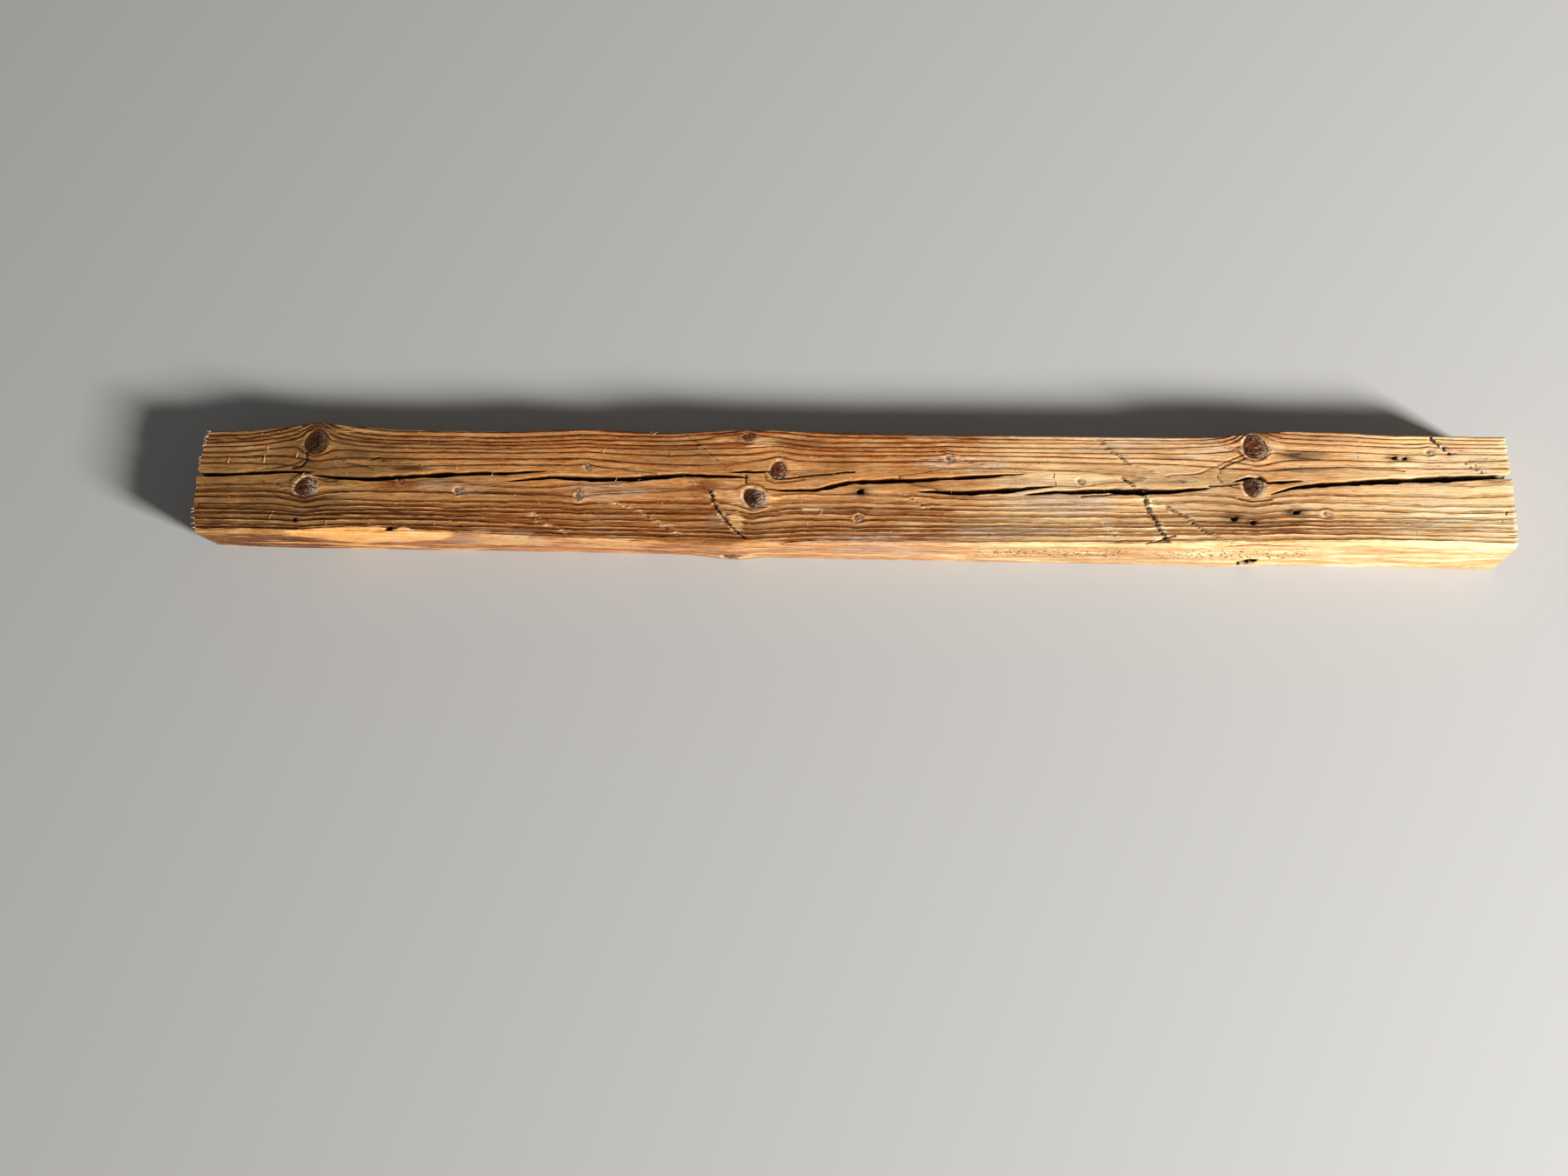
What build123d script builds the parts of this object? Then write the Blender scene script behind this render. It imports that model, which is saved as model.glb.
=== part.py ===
from build123d import *
import os
from math import sin, pi

# A reclaimed softwood plank: one length of a small log, hewn on its long faces and sawn at its
# ends. It is one piece, so it is one solid.
# Frame: X runs along the grain from the stained end to the pale end, Y goes from the front
# arris to the back one, Z is up. The origin is under the middle, on the flat underside.

# Sizes of the stock, in mm.
LENGTH = 1512.0
SAWN_WIDTH = 130.0
THICKNESS = 55.0

# The ends are cut a little round in plan, and the long edges are worn.
STAINED_END_BOW = 9.0
PALE_END_BOW = 2.5
FRONT_ARRIS_WEAR = 4.0
BACK_ARRIS_WEAR = 2.5

# Drying checks: clefts with a sharp root that close towards both tips.
CHECK_WIDTH = 6.5
CHECK_DEPTH = 27.0
# How much of its full lens shape a check has where it runs out through a sawn end.
OPEN_CHECK_SHARE = 0.75

# Pits of hand-forged nails, square and tapering.
NAIL_PIT_SIDE = 5.0
NAIL_PIT_DEPTH = 18.0
NAIL_PIT_TAPER = 5.0

# The hole of a lost dead knot, low on the front side.
KNOT_HOLE_PLACE = 0.789
KNOT_HOLE_UP = 12.0
KNOT_HOLE_WIDTH = 21.0
KNOT_HOLE_HEIGHT = 13.0
KNOT_HOLE_DEPTH = 14.0
KNOT_HOLE_TAPER = 18.0

# The sliver that has split off the front arris near the stained end: its ends along the plank,
# as shares of the length, and its reach across the top face and down the front side.
SPLIT_START = 0.085
SPLIT_END = 0.285
SPLIT_ACROSS = 13.0
SPLIT_DOWN = 7.0
# How far along the sliver each of its cross-sections lies, between its two points.
SPLIT_RUNS = (0.25, 0.5, 0.8)

# How far each cutter starts outside the wood that it cuts.
CUTTER_START = 2.0

# The plank's cross-sections, as it swells round its knots. Each gives its place along the plank,
# as a share of the length, and then in mm how far four edges stand out from half the sawn width
# (back foot, back arris, front arris, front foot) and how far the top face rises or dips.
SECTIONS = (
    (0.000, -1.5, -1.0, -1.8, -2.0, -0.5),
    (0.040, 0.5, 0.4, -2.2, 0.0, 0.3),
    (0.068, 2.5, 6.0, -2.5, 0.7, 1.6),
    (0.089, 4.0, 9.8, -2.7, 0.9, 2.6),
    (0.110, 3.0, 6.6, -3.0, 1.0, 1.8),
    (0.152, 1.5, 1.4, -3.3, 1.2, 0.3),
    (0.250, 0.0, 1.1, -1.2, 1.6, -0.7),
    (0.305, 1.0, 4.6, 1.5, 2.0, -0.6),
    (0.373, 0.5, -1.0, 5.0, 3.0, 0.0),
    (0.398, 1.2, 1.5, 5.8, 5.4, 0.8),
    (0.421, 1.6, 3.4, 6.2, 9.6, 1.7),
    (0.444, 2.0, 4.0, 5.8, 5.2, 2.2),
    (0.495, 1.0, 1.1, 3.8, 6.2, 0.3),
    (0.615, -2.0, -1.1, 2.6, 7.3, -0.8),
    (0.732, -1.0, -2.1, 0.5, 8.3, 0.0),
    (0.788, 1.0, -2.4, -1.3, 9.8, 1.6),
    (0.816, 2.0, 3.6, -2.3, 8.8, 2.4),
    (0.848, 2.5, 5.2, -3.4, 7.2, 1.3),
    (0.886, 1.5, 4.5, -4.1, 7.6, 0.4),
    (0.917, 1.0, 1.3, -3.9, 8.3, 0.2),
    (1.000, 0.0, 0.3, -3.0, 9.0, -0.4),
)

# The open checks on the top face, tip to tip: the place along the plank as a share of its
# length, and mm from the middle towards the back. A place outside 0 to 1 is an open end, where
# the check runs out through the sawn face.
CHECK_PATHS = (
    ((-0.01, 10.0), (0.026, 9.2), (0.038, 10.5), (0.065, 12.3), (0.096, 12.7)),
    ((0.093, 8.4), (0.111, 5.9), (0.141, 4.9), (0.179, 9.5), (0.214, 12.6), (0.261, 15.4),
     (0.282, 16.2)),
    ((0.249, 3.4), (0.268, 6.5), (0.290, 9.3), (0.319, 7.5), (0.347, 8.1), (0.388, 12.9),
     (0.437, 10.0)),
    ((0.422, 16.0), (0.438, 17.0), (0.455, 16.8)),
    ((0.448, -3.3), (0.461, -5.4), (0.489, -4.0), (0.514, 5.8), (0.571, 9.9), (0.612, 13.6),
     (0.647, 17.9)),
    ((0.565, -4.0), (0.605, -5.1), (0.629, -2.1), (0.668, 2.6)),
    ((0.645, -7.0), (0.664, -4.7), (0.708, -1.0), (0.751, -2.3), (0.782, 1.6)),
    ((0.825, -5.5), (0.839, 1.8), (0.857, 6.3), (0.903, 11.9), (0.962, 16.3), (1.01, 20.3)),
)

# The nail pits on the top face: the place along the plank as a share of its length, and the
# place across as a share of half the sawn width, towards the back.
NAIL_PITS = (
    (0.085, -0.72), (0.160, -0.85), (0.522, -0.09), (0.798, -0.53), (0.812, -0.59),
    (0.843, -0.39), (0.917, 0.61),
)


def along(share):
    """The place X of a share of the plank's length."""
    return (share - 0.5) * LENGTH


def section_at(share):
    """The four edges and the rise of the top face at any place along the plank."""
    share = min(max(share, 0), 1)
    for before, after in zip(SECTIONS, SECTIONS[1:]):
        if before[0] <= share <= after[0]:
            run = (share - before[0]) / (after[0] - before[0])
            return [low + (high - low) * run for low, high in zip(before[1:], after[1:])]


def top_at(share):
    """The height of the top face at a place along the plank."""
    return THICKNESS + section_at(share)[4]


def cross_section(x, back_foot, back_arris, front_arris, front_foot, rise):
    """One section of the plank: a flat foot, two leaning sides and a worn arris on each."""
    half = SAWN_WIDTH / 2
    top = THICKNESS + rise

    def side(foot, arris, wear):
        """The side's three points at the foot, the shoulder and the top face, as distances out."""
        shoulder = arris + (foot - arris) * wear / top
        return (half + foot, 0), (half + shoulder, top - wear), (half + arris - wear, top)

    back = [(x, out, z) for out, z in side(back_foot, back_arris, BACK_ARRIS_WEAR)]
    front = [(x, -out, z) for out, z in side(front_foot, front_arris, FRONT_ARRIS_WEAR)]
    return make_face(Polyline(*back, *reversed(front), close=True))


def hewn_body():
    """The hewn stick, sawn off at both ends by cuts that are a little round in plan."""
    sections = []
    for share, *edges in SECTIONS:
        past_end = CUTTER_START * ((share == 1) - (share == 0))
        sections.append(cross_section(along(share) + past_end, *edges))
    stick = loft(sections, ruled=True)

    def sawn_end(outwards, bow):
        middle, edge = outwards * LENGTH / 2, outwards * (LENGTH / 2 - 4 * bow)
        return ThreePointArc((edge, -SAWN_WIDTH), (middle, 0), (edge, SAWN_WIDTH))

    stained, pale = sawn_end(-1, STAINED_END_BOW), sawn_end(1, PALE_END_BOW)
    back, front = Line(stained @ 1, pale @ 1), Line(stained @ 0, pale @ 0)
    return stick & extrude(make_face([stained, back, pale, front]), amount=THICKNESS * 2)


def check_cleft(path):
    """One drying check: triangles along its path, widest and deepest in the middle."""
    first, last = path[0][0], path[-1][0]
    open_start, open_end = first < 0, last > 1
    sections = []
    for step, (share, across) in enumerate(path):
        run = (share - first) / (last - first)
        if open_start:
            run = 1 - (1 - run) * OPEN_CHECK_SHARE
        if open_end:
            run = run * OPEN_CHECK_SHARE
        surface = top_at(share)
        starts = step == 0 and not open_start
        ends = step == len(path) - 1 and not open_end
        if starts or ends:
            sections.append(Vertex(along(share), across, surface))
            continue
        opening = sin(pi * run) ** 0.6
        half_mouth = CHECK_WIDTH / 2 * (opening + CUTTER_START / CHECK_DEPTH)
        sections.append(make_face(Polyline(
            (along(share), across - half_mouth, surface + CUTTER_START),
            (along(share), across + half_mouth, surface + CUTTER_START),
            (along(share), across, surface - CHECK_DEPTH * opening),
            close=True,
        )))
    return loft(sections, ruled=True)


def nail_pit(share, across_share):
    """A square pit that narrows downwards, as a forged nail leaves it."""
    mouth_middle = (along(share), across_share * SAWN_WIDTH / 2, top_at(share) + CUTTER_START)
    mouth = Plane(mouth_middle) * Rectangle(NAIL_PIT_SIDE, NAIL_PIT_SIDE)
    return extrude(mouth, amount=-(NAIL_PIT_DEPTH + CUTTER_START), taper=NAIL_PIT_TAPER)


def knot_hole():
    """The oval hole of a dead knot, which narrows inwards from the front side."""
    side = SAWN_WIDTH / 2 + section_at(KNOT_HOLE_PLACE)[3]
    mouth = Plane(
        (along(KNOT_HOLE_PLACE), -side - CUTTER_START, KNOT_HOLE_UP), x_dir=(1, 0, 0), z_dir=(0, 1, 0)
    )
    oval = mouth * Ellipse(KNOT_HOLE_WIDTH / 2, KNOT_HOLE_HEIGHT / 2)
    return extrude(oval, amount=KNOT_HOLE_DEPTH + CUTTER_START, taper=KNOT_HOLE_TAPER)


def split_sliver():
    """The long thin wedge of wood that is gone from the front arris."""
    def front_arris(share):
        """The front arris at a place along the plank: how far across it is, and how high."""
        return -(SAWN_WIDTH / 2 + section_at(share)[2]), top_at(share)

    start, end = (Vertex(along(share), *front_arris(share)) for share in (SPLIT_START, SPLIT_END))
    sections = [start]
    for run in SPLIT_RUNS:
        share = SPLIT_START + (SPLIT_END - SPLIT_START) * run
        arris, surface = front_arris(share)
        size = sin(pi * run) ** 0.5
        sections.append(make_face(Polyline(
            (along(share), arris + SPLIT_ACROSS * size, surface + CUTTER_START / 4),
            (along(share), arris - CUTTER_START, surface + CUTTER_START / 4),
            (along(share), arris - CUTTER_START, surface - SPLIT_DOWN * size),
            close=True,
        )))
    sections.append(end)
    return loft(sections, ruled=True)


def timber_plank():
    """The plank as it lies, underside down."""
    cuts = [check_cleft(path) for path in CHECK_PATHS]
    cuts += [nail_pit(share, across) for share, across in NAIL_PITS]
    cuts += [knot_hole(), split_sliver()]
    return hewn_body() - cuts


os.makedirs("parts", exist_ok=True)
plank = timber_plank()
export_step(plank, "parts/timber_plank.step")
box = plank.bounding_box()
print("solids", len(plank.solids()), "faces", len(plank.faces()), "volume", round(plank.volume))
print("box", box.min, box.max)
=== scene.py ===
import math
from functools import partial

import bmesh
import bpy
import numpy as np
from bpy.props import FloatProperty, FloatVectorProperty, PointerProperty
from mathutils import Matrix, Vector


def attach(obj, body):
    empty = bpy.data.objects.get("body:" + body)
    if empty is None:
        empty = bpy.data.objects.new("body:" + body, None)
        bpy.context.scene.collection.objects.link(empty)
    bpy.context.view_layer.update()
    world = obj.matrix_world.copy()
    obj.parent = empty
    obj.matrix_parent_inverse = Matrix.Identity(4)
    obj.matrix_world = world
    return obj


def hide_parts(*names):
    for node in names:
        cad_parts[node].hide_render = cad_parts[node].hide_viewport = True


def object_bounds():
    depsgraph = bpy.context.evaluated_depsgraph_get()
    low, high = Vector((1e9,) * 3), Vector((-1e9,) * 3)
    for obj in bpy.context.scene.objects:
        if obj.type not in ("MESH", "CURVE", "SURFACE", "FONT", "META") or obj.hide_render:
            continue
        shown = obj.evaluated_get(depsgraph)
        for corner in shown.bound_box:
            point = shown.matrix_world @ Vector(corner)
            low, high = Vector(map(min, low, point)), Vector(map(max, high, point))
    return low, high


bl_info = {
    "name": "Reclaimed softwood plank",
    "version": (1, 0, 0),
    "blender": (4, 5, 0),
    "location": "3D View > Sidebar > Plank",
    "description": "A hewn softwood plank with washboard grain, knots and long drying checks",
    "category": "Add Mesh",
}

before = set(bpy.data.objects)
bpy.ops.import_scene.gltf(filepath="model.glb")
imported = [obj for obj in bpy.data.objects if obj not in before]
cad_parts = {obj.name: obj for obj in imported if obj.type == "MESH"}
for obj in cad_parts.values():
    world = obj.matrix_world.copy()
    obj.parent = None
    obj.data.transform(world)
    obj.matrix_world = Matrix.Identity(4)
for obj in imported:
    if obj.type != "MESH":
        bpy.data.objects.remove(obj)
CAD_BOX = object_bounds()

# The plank is worked out in millimetres, in the frame of the CAD: X along the grain from the
# stained end to the pale one, Y from the front arris to the back one, Z up from the underside.
MM = 0.001
LENGTH = (CAD_BOX[1].x - CAD_BOX[0].x) / MM
HALF_WIDTH = 65.0
THICKNESS = 55.0
STAINED_END_BOW = 9.0
PALE_END_BOW = 2.5
FRONT_ARRIS_WEAR = 4.0
BACK_ARRIS_WEAR = 2.5

# The hewn form: the place along the plank, then how far the back foot, back arris, front arris
# and front foot stand out from half the width, and how far the top face rises.
HEWN_FORM = (
    (-756, -1.5, -1.0, -1.8, -2.0, -0.5),
    (-696, 0.5, 0.4, -2.2, 0.0, 0.3),
    (-653, 2.5, 6.0, -2.5, 0.7, 1.6),
    (-621, 4.0, 9.8, -2.7, 0.9, 2.6),
    (-590, 3.0, 6.6, -3.0, 1.0, 1.8),
    (-526, 1.5, 1.4, -3.3, 1.2, 0.3),
    (-378, 0.0, 1.1, -1.2, 1.6, -0.7),
    (-295, 1.0, 4.6, 1.5, 2.0, -0.6),
    (-192, 0.5, -1.0, 5.0, 3.0, 0.0),
    (-154, 1.2, 1.5, 5.8, 5.4, 0.8),
    (-119, 1.6, 3.4, 6.2, 9.6, 1.7),
    (-85, 2.0, 4.0, 5.8, 5.2, 2.2),
    (-8, 1.0, 1.1, 3.8, 6.2, 0.3),
    (174, -2.0, -1.1, 2.6, 7.3, -0.8),
    (351, -1.0, -2.1, 0.5, 8.3, 0.0),
    (435, 1.0, -2.4, -1.3, 9.8, 1.6),
    (478, 2.0, 3.6, -2.3, 8.8, 2.4),
    (526, 2.5, 5.2, -3.4, 7.2, 1.3),
    (584, 1.5, 4.5, -4.1, 7.6, 0.4),
    (631, 1.0, 1.3, -3.9, 8.3, 0.2),
    (756, 0.0, 0.3, -3.0, 9.0, -0.4),
)
FORM_PLACES, BACK_FOOT, BACK_ARRIS, FRONT_ARRIS, FRONT_FOOT, RISE = zip(*HEWN_FORM)

# The open checks: the mesh line across the top face that each one follows, given as the line's
# usual place, then its path from tip to tip. A path past an end runs out through the sawn face.
CHECKS = (
    (22, ((-771, 10.0), (-717, 9.2), (-699, 10.5), (-658, 12.3), (-611, 12.7))),
    (17, ((-615, 8.4), (-588, 5.9), (-543, 4.9), (-485, 9.5), (-432, 12.6), (-361, 15.4),
         (-330, 16.2))),
    (12, ((-380, 3.4), (-351, 6.5), (-318, 9.3), (-274, 7.5), (-231, 8.1), (-169, 12.9),
         (-95, 10.0))),
    (23, ((-118, 16.0), (-94, 17.0), (-68, 16.8))),
    (6, ((-79, -3.3), (-59, -5.4), (-17, -4.0), (21, 5.8), (107, 9.9), (169, 13.6),
         (222, 17.9))),
    (-3, ((98, -4.0), (159, -5.1), (195, -2.1), (254, 2.6))),
    (-8, ((219, -7.0), (248, -4.7), (314, -1.0), (380, -2.3), (426, 1.6))),
    (12, ((449, 8.0), (468, 13.8), (482, 14.2), (489, 8.5), (530, 10.6))),
    (3, ((491, -5.5), (513, 1.8), (540, 6.3), (609, 11.9), (699, 16.3), (771, 20.3))),
)
CHECK_HALF_WIDTHS = (3.4, 4.0, 4.2, 2.0, 3.7, 3.8, 4.5, 2.2, 4.5)
DEEPEST_CHECK = 24.0
# How much of its full lens shape a check has where it runs out through a sawn end.
OPEN_CHECK_SHARE = 0.75

# Painted shade in hair cracks, dark arcs round the knots and fine slashes: half the width, how
# dark, and the path.
HAIRLINES = (
    (0.6, 0.6, ((-77, 13), (-75, 7), (-66, 3), (-49, 4.5), (-29, 8.5))),
    (0.6, 1.0, ((-72, 16), (-67, 9), (-60, 7.5), (-49, 8.5), (-29, 12), (26, 18))),
    (0.6, 0.9, ((-99, 13), (-98, 2))),
    (0.6, 0.8, ((283, -9.2), (330, -5))),
    (0.6, 0.9, ((425, 4), (449, 4.5))),
    (0.7, 0.9, ((747, -20), (740, -34))),
    (0.8, 0.8, ((672, 61), (694, 42))),
    (0.5, 0.8, ((706, 34), (716, 28), (726, 21))),
    (0.5, 0.7, ((353, -64), (386, -54))),
    (0.8, 0.7, ((-545, 28), (-537, 33), (-529, 28))),
    (0.5, 0.8, ((-749, -28), (-749, -56))),
    (0.5, 0.5, ((497, 44), (520, 40), (548, 37))),
    (0.4, 0.6, ((584, 27), (612, 25), (640, 24))),
    (0.6, 0.6, ((-588, 32), (-572, 24), (-556, 21), (-541, 17))),
    (0.6, 0.6, ((-606, 3), (-590, 1), (-570, 6))),
    (0.9, 0.8, ((-623, 37), (-622, 26), (-628, 19), (-640, 16))),
    (0.5, 0.4, ((-624, 28), (-645, 20), (-680, 15))),
    (0.6, 0.5, ((-655, -2), (-640, -12), (-630, -17))),
    (0.9, 0.5, ((466, 37), (446, 29), (437, 23), (435, 13), (440, 6.5), (455, 6))),
    (0.5, 0.35, ((464, 41), (432, 27), (414, 19), (380, 16))),
    (0.6, 0.6, ((500, 44), (512, 42), (528, 43))),
    (0.5, 0.5, ((455, -10), (470, -14), (492, -11))),
)
HAIRLINE_DEPTH = 0.9

# The knots on the top face: place, half sizes along and across, tone from brown at 0 to red at
# 1, how pale and split the core is, how many rings the grain bulges round it, and how far that
# reaches left and right.
KNOTS = (
    (-613, 50.5, 13.3, 13.3, 0.1, 0.1, 1.0, 60, 40),
    (-619, -6, 12.5, 11, 0.4, 0.5, 1.2, 50, 30),
    (-97, 59, 5.5, 4.5, 1.0, 0.15, 1.9, 32, 14),
    (-61, 19, 9.2, 9.0, 0.9, 0.3, 0.7, 24, 30),
    (-88, -15, 12, 11, 0.3, 0.6, 1.0, 34, 22),
    (478, 50, 13.5, 14, 0.8, 0.35, 1.3, 60, 30),
    (473, 3.5, 11.5, 10.5, 0.5, 0.45, 1.0, 44, 24),
    (-284, 21, 3.0, 3.0, 0.5, 0.8, 0.5, 18, 14),
    (-292, -13, 4.0, 5.0, 0.3, 0.5, 0.5, 18, 14),
    (-436, -9, 4.0, 4.0, 0.4, 0.5, 0.4, 14, 14),
    (-506, 2, 3.0, 3.0, 1.0, 0.4, 0.3, 12, 12),
    (136, 35, 4.0, 3.4, 0.6, 0.9, 0.5, 16, 16),
    (32, -38, 4.2, 3.6, 0.9, 0.6, 0.5, 16, 16),
    (283, 9, 3.0, 2.8, 0.3, 0.6, 0.3, 12, 12),
    (670, 46, 3.2, 3.0, 0.2, 0.9, 0.4, 14, 14),
    (552, -28, 3.6, 3.0, 0.6, 0.9, 0.4, 14, 14),
)
# The knot that stands out low on the front side, and the hole of a lost one: place, height,
# half sizes. The hole climbs towards the pale end by this share of its length.
SIDE_KNOT = (-116, 10, 10, 7)
KNOT_HOLE = (474, 9.5, 11.5, 5.0)
KNOT_HOLE_RISE = 0.3
KNOT_HOLE_DEPTH = 14.0

# Where woodworm has pitted the front side; the pits are painted dark as shade.
WORM_RUNS = ((174, 328), (376, 527))

# Nail pits: place, half size, and how far the black stain reaches round each.
NAIL_PITS = (
    (-628, -47, 2.4, 5), (-515, -55.3, 2.4, 5), (33, -5.6, 3.0, 9), (450, -34.4, 2.6, 10),
    (471, -38.3, 2.4, 7), (519, -25.6, 2.6, 10), (630, 39.5, 2.2, 8), (642, 38.5, 1.8, 6),
)
NAIL_PIT_DEPTH = 9

# Axe marks: depth of the scoop on the stained side of each, its reach, how much of its line is
# painted dark as shade, and its line from back to front.
AXE_MARKS = (
    (0.6, 40, 0.2, ((-168, 61), (-118, 19))),
    (2.0, 60, 1.0, ((-164, 3), (-140, -5), (-134, -21), (-118, -43), (-98, -62))),
    (1.9, 60, 0.8, ((-253, -21), (-216, -33), (-194, -49), (-171, -59))),
    (1.8, 50, 0.6, ((-352, -31), (-338, -45), (-300, -60))),
    (1.2, 60, 0.5, ((150, 37), (168, 27), (221, 19))),
    (2.0, 60, 0.45, ((309, 56), (338, 31), (398, 10))),
    (1.8, 30, 0.8, ((72, -6), (92, -11), (115, -27))),
    (2.3, 60, 0.8, ((332, 13), (352, -3), (360, -27), (378, -62))),
    (1.0, 30, 0.6, ((363, -14), (396, -32))),
    (0.9, 30, 0.5, ((304, -35), (325, -61))),
    (1.9, 50, 0.6, ((378, -20), (401, -34), (419, -50), (448, -63))),
    (1.2, 40, 1.0, ((673, 64), (694, 44))),
    (0.7, 25, 0.8, ((713, 39), (724, 24))),
    (0.7, 25, 0.5, ((438, 53), (462, 45))),
)

# Patches on the top face and the front arris: place, half sizes and strength of each.
PATCHES = {
    "stain": (
        (-575, 28, 95, 30, 0.45), (-535, 30, 50, 10, 0.5), (-600, -26, 40, 12, 0.45),
        (-640, 52, 26, 16, 0.35), (-730, 0, 26, 60, 0.3), (-36, 53, 44, 6, 0.5),
        (6, 28, 26, 9, 0.35), (-20, 14, 30, 6, 0.35), (528, 40, 40, 7, 0.65),
        (-640, 28, 40, 34, 0.4), (-655, -20, 50, 22, 0.3), (530, 24, 50, 4, 0.6),
        (386, 38, 26, 4, 0.5), (-190, 42, 70, 22, 0.28), (540, 4, 46, 6, 0.4),
        (462, -34, 46, 16, 0.25), (100, 60, 60, 4, 0.2), (-500, 18, 26, 3.5, 0.85),
        (-560, 36, 30, 9, 0.6), (-618, 22, 26, 7, 0.6), (-650, 44, 14, 22, 0.45),
        (-622, -20, 24, 5, 0.6), (-590, -2, 24, 4, 0.5), (-675, -34, 60, 12, 0.3),
        (-630, 26, 16, 8, 0.5), (-600, 66, 22, 5, 0.35),
    ),
    "haze": (
        (700, 32, 60, 26, 0.5), (-250, -2, 60, 12, 0.35), (262, -16, 60, 17, 0.75),
        (150, 30, 60, 12, 0.35), (190, -52, 70, 8, 0.5), (226, 6, 40, 6, 0.55),
        (330, 50, 60, 14, 0.4), (-268, -12, 26, 10, 0.4), (-424, -6, 26, 8, 0.4),
        (420, 50, 50, 12, 0.25), (-128, -44, 16, 10, 0.35), (-390, -64, 60, 8, 0.7),
        (60, -68, 90, 10, 0.5), (-470, -4, 20, 8, 0.35),
    ),
    "red": (
        (-20, 44, 60, 14, 0.2), (-97, 60, 22, 9, 0.6), (-510, -2, 36, 7, 0.9),
        (-145, -1, 22, 7, 0.8), (-180, -26, 50, 20, 0.35), (-152, -12, 14, 12, 0.6),
        (-134, -38, 14, 14, 0.55), (-330, -34, 90, 24, 0.35), (600, -80, 40, 12, 0.8),
        (660, 6, 50, 8, 0.25),
    ),
    "pale": (
        (254, 10, 3.5, 5, 0.9), (-22, -26, 13, 4, 0.8), (-78, 52, 22, 6, 0.45),
        (500, 50, 12, 14, 0.5), (-42, 23, 12, 8, 0.5), (-70, -18, 12, 8, 0.5),
        (122, -22, 20, 5, 0.4), (-108, -44, 9, 13, 0.85), (-186, -48, 9, 3, 0.5),
        (-380, -66, 52, 5, 0.55), (-250, -67, 40, 5, 0.5), (118, 60, 30, 4, 0.35),
        (690, -32, 90, 34, 0.32), (-556, 25, 26, 3, 0.55), (-520, 22, 30, 2.5, 0.5),
        (-585, 64, 40, 4, 0.3),
    ),
}

# Splinters that lie on the top face: place, length in mm, and degrees from the grain.
SPLINTERS = (
    (-671, 39, 11, -72), (-674, 29, 11, 86), (-634, 34, 8, 80), (-718, 27, 8, 78),
    (-657, -43, 6, 60), (-654, -37, 5, 20), (-210, 63, 8, -40), (-206, 64, 6, 30),
    (255, 16, 9, 84), (257, 7, 8, 80), (-33, -21, 7, -70), (-10, -30, 7, 60),
    (-537, -50, 6, 20), (-440, 20, 6, 80), (-397, 12, 6, 70), (-100, 63, 9, -20),
    (-86, 60, 8, -25), (486, 38, 9, -70), (494, 55, 10, -50), (-76, -20, 9, -30),
)
# How many more lie anywhere, besides these and those along the axe marks.
LOOSE_SPLINTERS = 90
# Where fibres fray out of the stained end: mm from the middle towards the back.
FRAYED = (63, 60, 57, 55, 52, 49, 46, 44, 30, 27, 24, 22, -34, -38, -45, -52, -57)

# How far the wood has kept its fresh honey colour, along the plank.
FRESHNESS = (
    (-756, 0.0), (-560, 0.05), (-430, 0.25), (-330, 0.45), (-190, 0.42), (-60, 0.5),
    (120, 0.5), (230, 0.85), (400, 0.78), (500, 0.62), (580, 0.75), (680, 1.0), (756, 1.0),
)
# The front side was cut later, so it is fresher.
SIDE_FRESHNESS = (
    (-756, 0.0), (-640, 0.02), (-500, 0.35), (-330, 0.5), (-200, 0.42), (-100, 0.7), (0, 0.6),
    (150, 0.75), (300, 0.95), (756, 1.0),
)

# The sliver that has split off the front arris, which bares fresh wood.
SPLIT_RANGE = (-640, -318)
SPLIT_ACROSS = 13.0
SPLIT_DOWN = 6.0
# Where its fresh face still shows: its ends along the plank, and its reach across the top face.
FRESH_RANGE = (-640, -424)
FRESH_ACROSS = 7.5

# How far the rings stand proud of the soft wood between them, on the top face and the sides.
WASHBOARD = 1.3
SIDE_WASHBOARD = 0.3
# The front half of the top face is painted paler as painted light, and its washboard is lower:
# where that begins and is complete.
FRONT_LIGHT_BAND = (8, -12)

# The pith lies under the checks: mm towards the back, and mm below the top face, at each end.
PITH_ACROSS = (10.0, 13.0)
PITH_DEPTH = (33.0, 58.0)
RING_WIDTH = (5.0, 4.0)
# Rings are closer together behind the pith than in front of it.
BACK_SHARE = 1.2
# The rings at this many mm from the pith run straight, and count as this ring.
STRAIGHT_RINGS = 45
PITH_RING = 14

# How the mesh is divided: stations along, and lines round the section from the middle of the
# underside past the front side, the top face and the back side.
STATIONS = 440
ROUND_SECTION = (
    ("under_front", 4), ("front", 18), ("front_arris", 5), ("top", 176), ("back_arris", 4),
    ("back", 10), ("under_back", 4),
)
TOP_LINES = dict(ROUND_SECTION)["top"]
LINES = sum(count for _, count in ROUND_SECTION)
# Spacing of the stations in mm: usually, at knots, at nail pits, and at the sharpest axe marks,
# which are given with their place and reach.
USUAL_SPACING = 5.0
KNOT_SPACING = 1.9
NAIL_SPACING = 1.6
FINE_MARKS = ((-130, 34, 2.2), (362, 36, 2.6), (420, 26, 3.0))
# Spacing of the grid on the sawn ends.
END_GRID = 4.0

# The usual width of the top face between its arrises, its front edge's distance from the
# middle, and how far a check draws the mesh's lines to its path.
TOP_WIDTH = 123
TOP_FRONT = 61
CHECK_PULL = 30

# The size of the grid of chances that wandering values run through, how far the hewn form's
# corners are rounded, in steps of 2 mm, and distances that stand for far away.
LATTICE = 64
EASED_STEPS = 11
FAR_FROM_KNOTS = 30.0
FAR_FROM_CRACKS = 9.0

ATTRIBUTES = (
    "ring", "gap", "knot", "knot_u", "knot_v", "knot_size", "knot_tone", "knot_split", "crack",
    "ink", "cleft", "notch", "torn", "stain", "pale", "haze", "red", "worm", "side", "freshness",
)


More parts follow.
